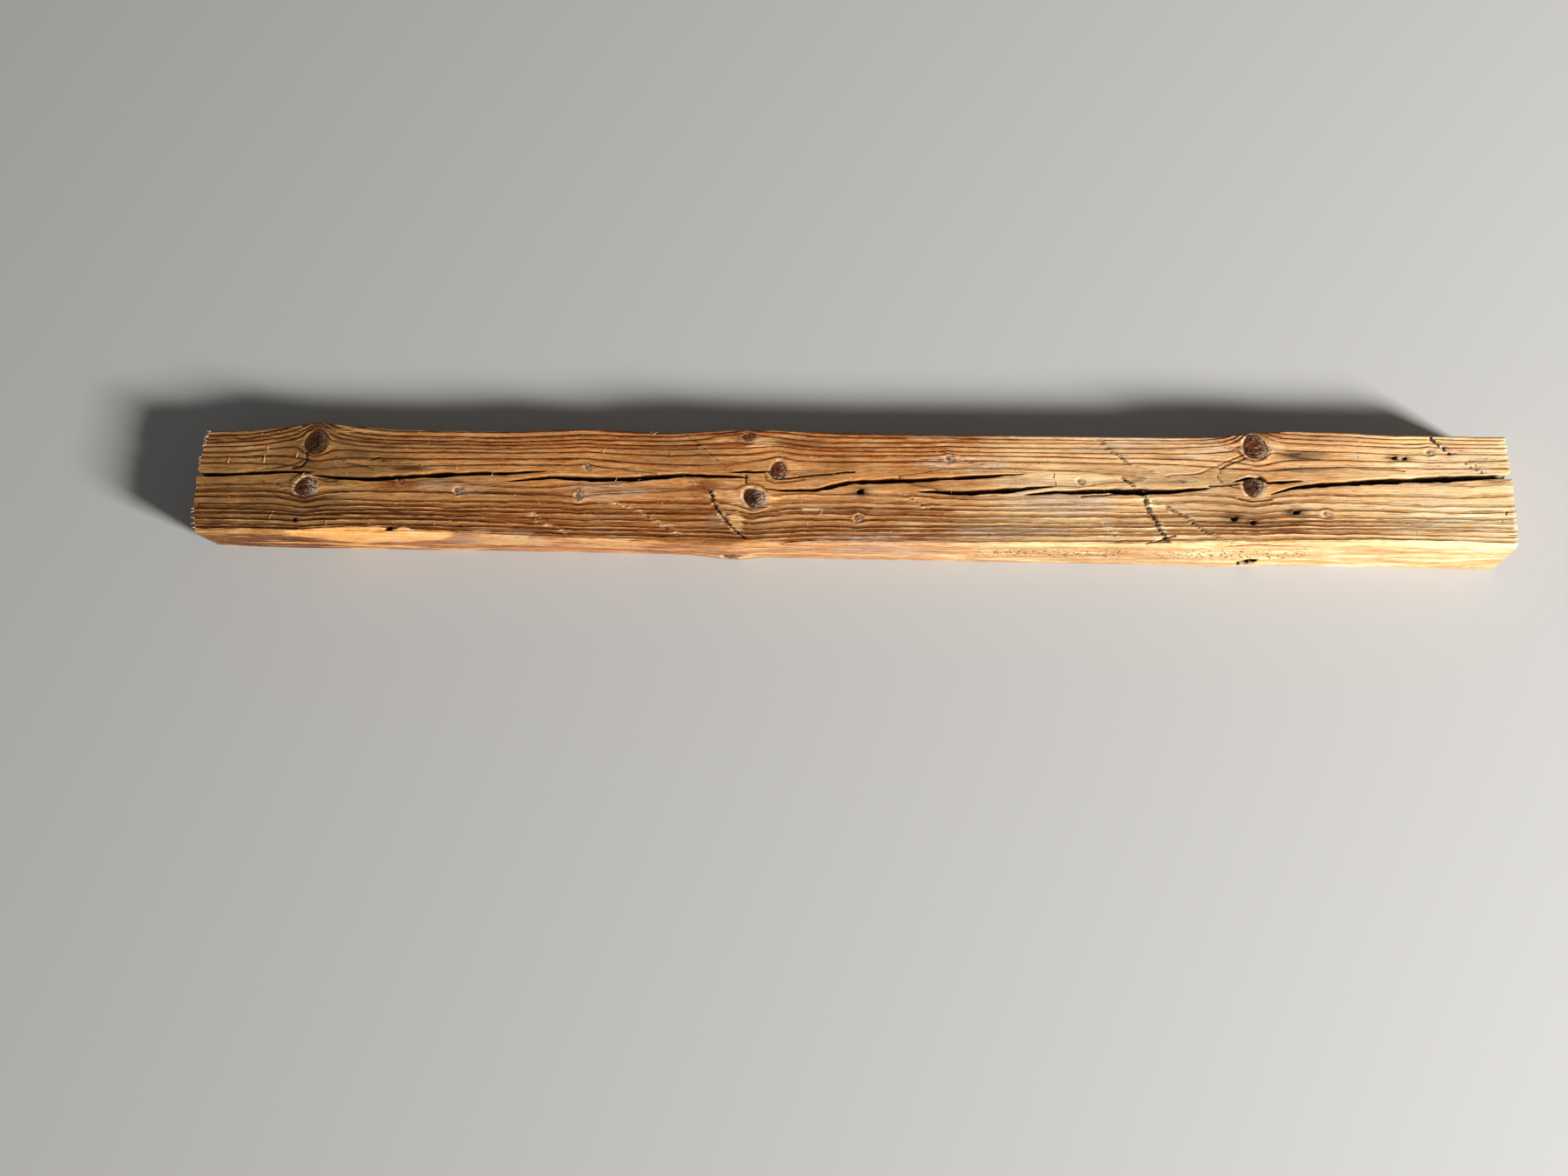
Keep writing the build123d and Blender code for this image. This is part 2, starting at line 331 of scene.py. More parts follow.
def linear(code):
    """An sRGB hex colour as linear red, green, blue and alpha."""
    channels = [int(code[i:i + 2], 16) / 255 for i in (1, 3, 5)]
    return [c / 12.92 if c <= 0.04045 else ((c + 0.055) / 1.055) ** 2.4 for c in channels] + [1.0]


def smooth(low, high, value):
    """0 below low, 1 above high and an even curve between. High may be the lower one."""
    run = np.clip((value - low) / (high - low), 0, 1)
    return run * run * (3 - 2 * run)


def drift(seed, along, across, run, spread=1):
    """Smooth wandering values from -1 to 1, in swells about run long and spread wide.

    Each use has a seed of its own, so it wanders in its own way, and the same way each time.
    """
    lattice = np.random.default_rng(seed).uniform(-1, 1, (LATTICE, LATTICE))
    u, v = along / run, across / spread
    left, low = (np.floor(place).astype(int) for place in (u, v))
    u, v = u - left, v - low
    u, v = u * u * (3 - 2 * u), v * v * (3 - 2 * v)
    left, right = left % LATTICE, (left + 1) % LATTICE
    rows = []
    for row in (low % LATTICE, (low + 1) % LATTICE):
        rows.append(lattice[left, row] * (1 - u) + lattice[right, row] * u)
    return rows[0] * (1 - v) + rows[1] * v


def eased(edge, at):
    """One edge of the hewn form at any places along the plank, with its corners rounded."""
    dense = np.arange(-800.0, 801.0, 2.0)
    weights = np.hanning(2 * EASED_STEPS + 1)
    weights /= weights.sum()
    padded = np.pad(np.interp(dense, FORM_PLACES, edge), EASED_STEPS, mode="edge")
    return np.interp(at, dense, np.convolve(padded, weights, "valid"))


def stations():
    """The places of the mesh's stations, close together at knots, nails and the deepest marks."""
    dense = np.arange(-LENGTH / 2, LENGTH / 2 + 0.25, 0.5)
    density = np.full(dense.shape, 1 / USUAL_SPACING)
    fine = [(knot[0], knot[2] + 5, KNOT_SPACING) for knot in KNOTS]
    fine += [(pit[0], pit[2] + 2, NAIL_SPACING) for pit in NAIL_PITS]
    fine += [*FINE_MARKS, (KNOT_HOLE[0], 13, KNOT_SPACING)]
    for middle, reach, spacing in fine:
        near = smooth(reach + 5, reach, np.abs(dense - middle))
        density = np.maximum(density, 1 / spacing * near)
    run = np.concatenate(([0], np.cumsum((density[1:] + density[:-1]) / 2)))
    return np.interp(np.linspace(0, run[-1], STATIONS + 1), run, dense)


def check_state(number, x):
    """For one check at places x: its middle line, half width, depth, and whether it runs there."""
    path = np.array(CHECKS[number][1], float)
    first, last = path[0, 0], path[-1, 0]
    wander = 0.35 * drift(50 + number, x, 0, 9)
    middle = np.interp(x, path[:, 0], path[:, 1]) + wander
    run = np.clip((x - first) / (last - first), 0, 1)
    if first < -LENGTH / 2:
        run = 1 - (1 - run) * OPEN_CHECK_SHARE
    if last > LENGTH / 2:
        run = run * OPEN_CHECK_SHARE
    opening = np.sin(math.pi * np.clip(run, 0, 1)) ** 0.5
    ragged = 1 + 0.18 * drift(70 + number, x, 0, 22)
    ragged = ragged + 0.14 * drift(80 + number, x, 0, 9)
    wide = CHECK_HALF_WIDTHS[number]
    depth = min(DEEPEST_CHECK, wide * 6.5) * opening
    inside = smooth(-26, 0, x - first) * smooth(-26, 0, last - x)
    return middle, wide * opening * ragged, depth, inside


def top_lines(x, front, back):
    """Where the top face's lines lie at each station, bent to follow the checks, how deep, and
    their painted shade.
    """
    share = np.linspace(0, 1, TOP_LINES + 1)
    y = front[:, None] + (back - front)[:, None] * share
    state = [check_state(number, x) for number in range(len(CHECKS))]
    line = np.array([round((usual + TOP_FRONT) / TOP_WIDTH * TOP_LINES) for usual, _ in CHECKS])

    # Each check draws the lines near its own one onto its path; the two arrises stay put.
    spans = [(path[0][0], path[-1][0]) for _, path in CHECKS]
    held = [smooth(-34, -4, x - first) * smooth(-34, -4, last - x) for first, last in spans]
    held = np.array([x * 0 + 1, *held, x * 0 + 1]).T
    fixed = np.array([0, *line, TOP_LINES])
    wanted = np.array([x * 0, *(state[k][0] for k in range(len(CHECKS))), x * 0]).T
    wanted[:, 1:-1] -= y[:, line]
    reach = np.abs(share[:, None] - share[fixed]) * TOP_WIDTH / CHECK_PULL
    slack = ((1 - held) / np.maximum(held, 1e-3)) ** 2 + 1e-4
    system = np.exp(-reach[fixed]) + slack[:, :, None] * np.eye(len(fixed))
    pull = np.linalg.solve(system, wanted[:, :, None])[:, :, 0]
    y += pull @ np.exp(-reach).T

    # The five lines of a check make its lips, walls and root, and the next ones give way.
    depth, cleft = np.zeros_like(y), np.zeros_like(y)
    for number, j in enumerate(line):
        _, half, deep, inside = state[number]
        running = (half > 0.02) & (inside > 0.99)
        for side in (-1, 1):
            lip = np.abs(y[:, j + 2 * side] - y[:, j])
            push = inside * (half - lip) * side
            for step in range(2, 36):
                if 0 < j + step * side < TOP_LINES:
                    y[:, j + step * side] += push * math.exp(-(step - 2) / 7)
            wall = y[:, j] + (y[:, j + 2 * side] - y[:, j]) * 0.85
            y[:, j + side] += inside * (wall - y[:, j + side])
            depth[running, j + side] = 0.45 * deep[running]
            depth[running, j + 2 * side] = 0.35 * np.minimum(half, 1)[running]
            # The walls and root are marked for painted shade: the front wall, which faces away
            # from the lamp, darker than the lit back wall.
            cleft[running, j + side] = 0.6 if side > 0 else 0.95
        depth[running, j] = deep[running]
        cleft[running, j] = 1
    return y, depth, cleft


def plank_surface():
    """The base surface station by station: places, inward directions, checks and zones."""
    x = stations()
    edges = (BACK_FOOT, BACK_ARRIS, FRONT_ARRIS, FRONT_FOOT)
    back_foot, back_out, front_out, front_foot = (HALF_WIDTH + eased(edge, x) for edge in edges)
    top = THICKNESS + eased(RISE, x)
    front_wear = FRONT_ARRIS_WEAR * (1 + 0.3 * drift(11, x, 0, 40))
    back_wear = BACK_ARRIS_WEAR * (1 + 0.3 * drift(12, x, 0, 40))
    front_shoulder = front_out + (front_foot - front_out) * front_wear / top
    back_shoulder = back_out + (back_foot - back_out) * back_wear / top
    top_y, depth, cleft = top_lines(x, -(front_out - front_wear), back_out - back_wear)

    def arris(out, shoulder, wear, share):
        """The worn arris, rounded from its shoulder to the top face."""
        corner = (out * 0.75 + (shoulder + out - wear) / 2 * 0.25, top - wear * 0.125)
        a, b, c = (1 - share) ** 2, 2 * share * (1 - share), share ** 2
        across = a * shoulder + b * corner[0] + c * (out - wear)
        return across, a * (top - wear) + b * corner[1] + c * top

    rows, zones = [], []
    zero = np.zeros_like(x)
    for zone, count in ROUND_SECTION:
        for step in range(count):
            share = step / count
            turn = share * math.pi / 2
            if zone == "under_front":
                y, z, lean = -front_foot * share, zero, (0, -1)
            elif zone == "front":
                y = -(front_foot + (front_shoulder - front_foot) * share)
                z, lean = (top - front_wear) * share, (-1, 0)
            elif zone == "front_arris":
                out, z = arris(front_out, front_shoulder, front_wear, share)
                y, lean = -out, (-math.cos(turn), math.sin(turn))
            elif zone == "top":
                y, z, lean = top_y[:, step], top, (0, 1)
            elif zone == "back_arris":
                y, z = arris(back_out, back_shoulder, back_wear, 1 - share)
                lean = (math.sin(turn), math.cos(turn))
            elif zone == "back":
                y = back_shoulder + (back_foot - back_shoulder) * share
                z, lean = (top - back_wear) * (1 - share), (1, 0)
            else:
                y, z, lean = back_foot * (1 - share), zero, (0, -1)
            rows.append((y, z, zero + lean[0], zero + lean[1]))
            zones.append(zone)
    y, z, ny, nz = (np.array(grid).T for grid in zip(*rows, rows[0]))
    sunk, split_open = np.zeros_like(y), np.zeros_like(y)
    top_columns = slice(zones.index("top"), zones.index("top") + TOP_LINES)
    sunk[:, top_columns] = depth[:, :TOP_LINES]
    split_open[:, top_columns] = cleft[:, :TOP_LINES]
    x = np.repeat(x[:, None], y.shape[1], axis=1)
    return x, y, z, ny, nz, sunk, split_open, np.array([*zones, zones[0]])


def ring_count(x, y, z):
    """How many year rings lie between the pith and a point, bent round the knots."""
    run = (x + LENGTH / 2) / LENGTH
    pith_y, pith_depth, width = (
        stained + (pale - stained) * run for stained, pale in (PITH_ACROSS, PITH_DEPTH, RING_WIDTH)
    )

    # The rings follow the hewn edges as they swell, and bow outwards beside each knot.
    swell = np.where(y > 0, eased(BACK_ARRIS, x), -eased(FRONT_ARRIS, x))
    bent = y - swell * (np.abs(y) / HALF_WIDTH) ** 1.5
    bulge = np.zeros_like(y)
    on_top = smooth(0, 12, z)
    for kx, ky, half_along, half_across, _, _, rings, left, right in KNOTS:
        dx, dy = x - kx, y - ky
        r2 = (dx / (half_along * 1.25)) ** 2 + (dy / (half_across * 1.1)) ** 2
        bent -= dy / np.maximum(r2, 0.9) * np.exp(-np.abs(dx) / (half_along * 5)) * on_top
        reach = np.where(dx < 0, -dx / left, dx / right)
        bulge -= rings * np.exp(-reach - np.abs(dy) / (half_across * 0.9)) * on_top
    across = (bent - pith_y) * np.where(bent > pith_y, BACK_SHARE, 1)
    radius = np.sqrt(across ** 2 + (z - THICKNESS + pith_depth) ** 2)
    radius = radius + 0.6 * np.sin(radius * 0.32) + 0.3 * np.sin(radius * 0.83 + 1)
    slow = 0.3 * drift(21, x, bent, 170, 26) + 0.08 * drift(22, x, bent, 50, 9)
    # The lines half way to the arrises run along the plank, not across it.
    straight = np.sqrt(STRAIGHT_RINGS ** 2 + pith_depth ** 2)
    return PITH_RING + (radius - straight) / width + bulge + slow


def ring_gap(x, y, z, ny, nz):
    """How many mm lie between two ring lines where the surface cuts them."""
    ring = ring_count(x, y, z)
    along = ring_count(x + 1, y, z) - ring
    across = ring_count(x, y + 1, z) - ring
    up = ring_count(x, y, z + 1) - ring
    inwards = across * ny + up * nz
    slope = np.sqrt(along ** 2 + (across - inwards * ny) ** 2 + (up - inwards * nz) ** 2)
    return np.clip(1 / np.maximum(slope, 0.02), 1.5, 30)


def distance_to_path(x, y, path):
    """How far points lie from a line of straight runs."""
    nearest = np.full(x.shape, 99.0)
    for (x0, y0), (x1, y1) in zip(path, path[1:]):
        dx, dy = x1 - x0, y1 - y0
        share = np.clip(((x - x0) * dx + (y - y0) * dy) / (dx * dx + dy * dy), 0, 1)
        nearest = np.minimum(nearest, np.hypot(x - x0 - share * dx, y - y0 - share * dy))
    return nearest


def knot_fields(x, y, z):
    """What each point needs of its nearest knot: mm to its rim, place in it, size and looks."""
    rim = np.full(x.shape, FAR_FROM_KNOTS)
    fields = {name: np.zeros_like(x) for name in ("u", "v", "size", "tone", "split")}
    knots = [(*knot[:6], y, z < 40) for knot in KNOTS]
    knots.append((*SIDE_KNOT, 0.8, 0.3, z, y > -55))
    for kx, middle, half_along, half_across, red, split, height, elsewhere in knots:
        u, v = (x - kx) / half_along, (height - middle) / half_across
        angle = np.arctan2(v, u)
        uneven = 1 + 0.07 * np.sin(2 * angle + kx) + 0.05 * np.sin(3 * angle + middle)
        size = min(half_along, half_across)
        here = (np.hypot(u, v) * uneven - 1) * size + 60 * elsewhere
        for name, value in (("u", u), ("v", v), ("size", size), ("tone", red), ("split", split)):
            fields[name] = np.where(here < rim, value, fields[name])
        rim = np.minimum(rim, here)
    return rim, fields


def axe_scoops(x, y, on_top):
    """How deep the axe has scooped, the nearest mark's lip, mm to its line, and its painted shade.
    """
    scoop, lip = np.zeros_like(x), np.zeros_like(x)
    notch, torn = np.full(x.shape, FAR_FROM_CRACKS), np.zeros_like(x)
    jag = 1.1 * drift(31, x, y, 60, 2.4) + 1.8 * drift(32, x, y, 90, 8)
    for depth, reach, dark, line in AXE_MARKS:
        xs, ys = zip(*sorted(line, key=lambda point: point[1]))
        left = np.interp(y, ys, xs) + jag - x
        within = smooth(ys[0] - 4, ys[0] + 2, y) * smooth(ys[-1] + 4, ys[-1] - 2, y) * on_top
        scoop += depth * within * smooth(-0.9, 0.9, left) * np.exp(-np.maximum(left, 0) / reach)
        scoop += min(depth, 0.9) * np.exp(-((left - 0.8) / 1.2) ** 2) * within
        away = np.abs(left - 0.4)
        torn = np.where(away < notch, within * dark, torn)
        notch = np.minimum(notch, away)
        beside = np.exp(-((left + 2.6) / 3.2) ** 2) + 0.7 * np.exp(-((left - 3.2) / 2.2) ** 2)
        lip = np.maximum(lip, within * min(depth, 1.4) / 1.4 * beside)
    return scoop, lip, notch, torn


def hewn_plank():
    """The plank's points in mm and its painted values, station by station."""
    x, y, z, ny, nz, sunk, cleft, zones = plank_surface()
    on_top = np.isin(zones, ("top", "front_arris", "back_arris")) + 0 * x
    under = np.isin(zones, ("under_front", "under_back")) | (z < 0.01)
    front_side = zones == "front"
    upper = z > 40

    # The ends are cut a little round in plan, and their fibres are frayed.
    bow = (y / HALF_WIDTH) ** 2
    run = (x + LENGTH / 2) / LENGTH
    x = x + STAINED_END_BOW * bow * (1 - run) - PALE_END_BOW * bow * run

    ring = ring_count(x, y, z)
    part = ring - np.floor(ring)
    crest = smooth(0.05, 0.84, part) * smooth(1.0, 0.86, part)
    gap = ring_gap(x, y, z, ny, nz)
    rim, knot = knot_fields(x, y, z)

    # The washboard: lower at knots, on the sides, where rings lie wide apart and at the pale end.
    proud = np.where(on_top > 0, WASHBOARD, SIDE_WASHBOARD) * smooth(-1, 5, rim)
    proud *= smooth(26, 6, gap)
    proud *= 0.85 + 0.3 * drift(41, x, y, 120, 25) + 0.2 * drift(60, x, y, 32, 6)
    in_front = smooth(*FRONT_LIGHT_BAND, y) * on_top
    proud *= (1 - 0.15 * in_front) * (1 - (0.3 + 0.3 * in_front) * smooth(520, 640, x))
    inward = proud * (1 - crest)
    inward += 0.35 * (1 + drift(42, x, y, 70, 26)) * on_top
    inward += 0.12 * (1 + drift(43, x, y + z, 9, 1.6))

    # Knots are harder than the wood round them: they stand up inside a sunken rim.
    inside = smooth(0.5, -1.5, rim)
    groove = np.exp(-((rim - 0.6) / 1.1) ** 2)
    swirls = 0.35 + 0.25 * np.cos(rim * 2.2) + 0.3 * drift(44, x, y, 3, 3)
    inward += 0.9 * groove + inside * swirls
    inward -= 0.3 * smooth(9, 2, rim) * smooth(0, 2, rim)

    scoop, lip, notch, torn = axe_scoops(x, y, on_top)
    inward += scoop

    crack, ink = np.full(x.shape, FAR_FROM_CRACKS), np.zeros_like(x)
    wander = 0.7 * drift(58, x, y, 14, 30) + 0.3 * drift(59, x, y, 5, 30)
    for half, dark, path in HAIRLINES:
        away = distance_to_path(x, y + wander, path) - half + 0.5
        ink = np.where(away < crack, dark, ink)
        crack = np.minimum(crack, away)
    crack = np.where(z > 48, crack, FAR_FROM_CRACKS)
    inward += HAIRLINE_DEPTH * smooth(1.4, 0.3, crack)

    painted = {name: np.zeros_like(x) for name in ("stain", "pale", "haze", "red", "worm")}

    def paint(name, amount):
        """Paints a value on, where it is stronger than what is there."""
        painted[name] = np.maximum(painted[name], amount)

    paint("stain", 0.2 * smooth(-0.2, 0.9, drift(46, x, y, 110, 12)))
    for name, patches in PATCHES.items():
        for px, py, half_along, half_across, amount in patches:
            rho = np.hypot((x - px) / half_along, (y - py) / half_across)
            rho += 0.25 * drift(47, x, y, 24, 3.0)
            paint(name, amount * smooth(1.25, 0.45, rho) * (z > 20))
    for px, py, half, halo in NAIL_PITS:
        away = ((np.abs(x - px) / 1.3) ** 3 + np.abs(y - py) ** 3) ** (1 / 3)
        away = np.where(upper, away + 0.8 * drift(45, x, y, 2.5, 1.7), FAR_FROM_KNOTS)
        inward += NAIL_PIT_DEPTH * smooth(half + 0.2, half - 1.2, away)
        streak = np.hypot((x - px) / (halo * 2.2), (y - py) / halo)
        streak = streak + 0.35 * drift(48, x, y, 12, 1.8)
        paint("stain", 0.8 * smooth(1.1, 0.1, streak) * upper)
        paint("stain", smooth(half + 1.0, half - 0.4, away))

    # The hole of the lost knot, low on the front side. Its inside is marked for painted shade, and
    # the stain paints the hole and its edge near black.
    hx, hz, half_along, half_up = KNOT_HOLE
    rho = np.hypot((x - hx) / half_along, (z - hz - KNOT_HOLE_RISE * (x - hx)) / half_up)
    rho += 0.12 * drift(49, x, z, 4, 3)
    inward += KNOT_HOLE_DEPTH * (smooth(1.1, 0.6, rho) * front_side)
    cleft = np.maximum(cleft, smooth(1.2, 0.95, rho) * front_side)
    paint("stain", smooth(1.25, 0.9, rho) * front_side)

    # The split sliver leaves a ragged step along the front arris.
    start, stop = SPLIT_RANGE
    share = np.clip((x - start) / (stop - start), 0, 1)
    opening = np.sin(math.pi * share) ** 0.55
    arris = -(HALF_WIDTH + np.interp(x, FORM_PLACES, FRONT_ARRIS))
    jagged = SPLIT_ACROSS * opening * (1 + 0.3 * drift(52, x, 0, 22))
    from_arris = (y - arris) / np.maximum(jagged, 0.1)
    gone = smooth(1.0, 0.0, from_arris) * (opening > 0.05) * on_top
    inward += SPLIT_DOWN * 0.55 * opening * gone

    # Part of it is bare, pale wood that reaches down the front side.
    start, stop = FRESH_RANGE
    share = np.clip((x - start) / (stop - start), 0, 1)
    bared = np.sin(math.pi * share) ** 0.75 * (1 + 0.3 * drift(61, x, 0, 16))
    from_arris = (y - arris) / np.maximum(FRESH_ACROSS * bared, 0.1)
    lower = 49 - 30 * np.sin(math.pi * share ** 0.85) + 3 * drift(62, x, 0, 20)
    fresh = smooth(1.1, 0.85, from_arris) * (bared > 0.1) * smooth(lower, lower + 6, z)
    paint("pale", fresh)
    painted["stain"] *= 1 - fresh

    # Fresh splintered wood along the lips of the axe marks, and a painted highlight in the same
    # pale colour round the pale end's edge, strongest at the top.
    paint("pale", 0.95 * lip * smooth(-0.3, 0.4, drift(53, x, y, 9, 1.8)))
    end = (LENGTH / 2 - PALE_END_BOW * bow) - x
    broken = smooth(5, 2.5, end + 2.5 * drift(54, x * 0, y, 1, 2.5))
    paint("pale", broken * (1 - 0.7 * smooth(52, 46, z)))

    frayed = smooth(3, 0, LENGTH / 2 - np.abs(x) - 1) * (0.8 + 0.8 * drift(55, y, z, 2.2, 2.2))
    x = x + np.where(x < 0, 1, -1) * frayed
    inward = np.where(under, 0, inward)
    y = y - ny * inward
    z = z - nz * inward - sunk
    lowest, highest = (np.array(corner) / MM for corner in CAD_BOX)
    x = np.clip(x, lowest[0], highest[0])
    y = np.clip(y, lowest[1], highest[1])
    z = np.clip(z, 0, highest[2])
    side = smooth(52, 46, z + inward) * (ny < -0.3)
    # The front half of the top face is painted a little fresher, as painted light.
    freshness = np.interp(x, *zip(*FRESHNESS)) + 0.06 * in_front
    freshness += side * (np.interp(x, *zip(*SIDE_FRESHNESS)) - freshness)
    for start, stop in WORM_RUNS:
        eaten = smooth(start - 15, start, x) * smooth(stop + 15, stop, x) * side
        painted["worm"] += eaten * smooth(14, 20, z) * smooth(46, 36, z)
    values = {
        "ring": ring, "gap": gap, "knot": rim, "crack": crack, "ink": ink, "cleft": cleft,
        "notch": notch, "torn": torn, "side": side, "freshness": freshness, **painted,
    }
    values.update({"knot_" + name: value for name, value in knot.items()})
    return x, y, z, values


def finished(bm, name):
    """The mesh of some bmesh geometry, with its faces turned outwards."""
    bmesh.ops.recalc_face_normals(bm, faces=bm.faces)
    mesh = bpy.data.meshes.new(name)
    bm.to_mesh(mesh)
    bm.free()
    return mesh


def plank_mesh():
    """The plank: a grid rolled up into the hewn section, closed at both sawn ends."""
    x, y, z, values = hewn_plank()
    bm = bmesh.new()
    bmesh.ops.create_grid(bm, x_segments=STATIONS, y_segments=LINES, size=1)
    layers = {name: bm.verts.layers.float.new(name) for name in ATTRIBUTES}
    seam = []
    for vert in bm.verts:
        station = round((vert.co.x + 1) / 2 * STATIONS)
        line = round((vert.co.y + 1) / 2 * LINES)
        vert.co = (x[station, line] * MM, y[station, line] * MM, z[station, line] * MM)
        for name, layer in layers.items():
            vert[layer] = values[name][station, line]
        if line in (0, LINES):
            seam.append(vert)
    bmesh.ops.remove_doubles(bm, verts=seam, dist=1e-6)
    close_ends(bm, layers)
    mesh = finished(bm, "plank")
    mesh.shade_smooth()
    mesh.set_sharp_from_angle(angle=math.radians(62))
    return mesh


def close_ends(bm, layers):
    """Sawn ends: each is filled, and cut into a grid that carries the rings of the end grain."""
    rims = [edge for edge in bm.edges if edge.is_boundary]
    for end in list(bmesh.ops.holes_fill(bm, edges=rims, sides=0)["faces"]):
        pale = end.calc_center_median().x > 0
        faces = [end]
        # The cuts run past the plank's edges, a little off the round numbers, so that they miss
        # the corners of the rim.
        for axis, reach in ((1, 75), (2, 58)):
            for cut in np.arange(-reach, reach, END_GRID):
                point, normal = Vector((0, 0, 0)), Vector((0, 0, 0))
                point[axis], normal[axis] = (cut + 0.37) * MM, 1
                parts = set(faces)
                parts.update(edge for face in faces for edge in face.edges)
                parts.update(vert for face in faces for vert in face.verts)
                made = bmesh.ops.bisect_plane(
                    bm, geom=list(parts), dist=1e-7, plane_co=point, plane_no=normal
                )
                faces = [part for part in made["geom"] if isinstance(part, bmesh.types.BMFace)]
        inner = {vert for face in faces for vert in face.verts}
        inner = [vert for vert in inner if all(face in set(faces) for face in vert.link_faces)]
        # The lamp shines straight onto the pale end, so its wood is drawn a little darker.
        freshness, stain = (0.1, 0.5) if pale else (0.0, 0.0)
        for vert in inner:
            y, z = vert.co.y / MM, vert.co.z / MM
            bow = (PALE_END_BOW if pale else STAINED_END_BOW) * (y / HALF_WIDTH) ** 2
            rough = 1.0 + 0.7 * float(drift(56, np.array(y), np.array(z), 3, 3))
            vert.co.x = (1 if pale else -1) * (LENGTH / 2 - bow - rough) * MM
            here = [np.array([value]) for value in (vert.co.x / MM, y, z)]
            for name, value in (
                ("ring", float(ring_count(*here)[0])), ("gap", RING_WIDTH[int(pale)]),
                ("knot", FAR_FROM_KNOTS), ("crack", FAR_FROM_CRACKS), ("notch", FAR_FROM_CRACKS),
                ("freshness", freshness), ("stain", stain),
            ):
                vert[layers[name]] = value


def emptied(owner):
    """The node tree of a material or a world, emptied."""
    owner.use_nodes = True
    owner.node_tree.nodes.clear()
    return owner.node_tree


def add(tree, kind, *inputs, out=0, named=None, **settings):
    """Adds a node with its settings, its inputs set or linked, and gives one of its outputs."""
    made = tree.nodes.new("ShaderNode" + kind)
    for name, value in settings.items():
        setattr(made, name, value)
    for socket, value in {**dict(enumerate(inputs)), **(named or {})}.items():
        if isinstance(value, bpy.types.NodeSocket):
            tree.links.new(value, made.inputs[socket])
        else:
            made.inputs[socket].default_value = value
    return made.outputs[out] if len(made.outputs) else made


def layered(tree, paints, first, layers):
    """Lays paints over the first one, each through its mask. All are given by name."""
    seen = paints[first]
    for mask, over in layers:
        seen = add(tree, "Mix", mask, out=2, named={6: seen, 7: paints[over]}, data_type="RGBA")
    return seen


# How strongly dry wood mirrors the light.
DRY_WOOD_SHEEN = 0.12

# Grain of the wood: the size of its patches in mm along, across and down, and its detail. A
# softwood fibre is only 0.03 mm wide, too fine to show, so fibres are drawn as strands 1.3 mm
# wide, and the grit of torn ones as coarse as it has to be to show.
GRAINS = {
    "fibre": ((34, 1.3, 1.3), 4),
    "fleck": ((8, 1.6, 1.6), 3),
    "streak": ((110, 4.5, 4.5), 4),
    "lens": ((75, 7, 7), 2),
    "cloud": ((60, 24, 24), 3),
    "wobble": ((26, 5, 5), 2),
    "grit": ((1.6, 1.6, 1.6), 3),
    "chip": ((5, 2.0, 2.0), 2),
    "pit": ((3.6, 2.6, 2.6), 1),
    "dash": ((30, 1.3, 1.3), 2),
}


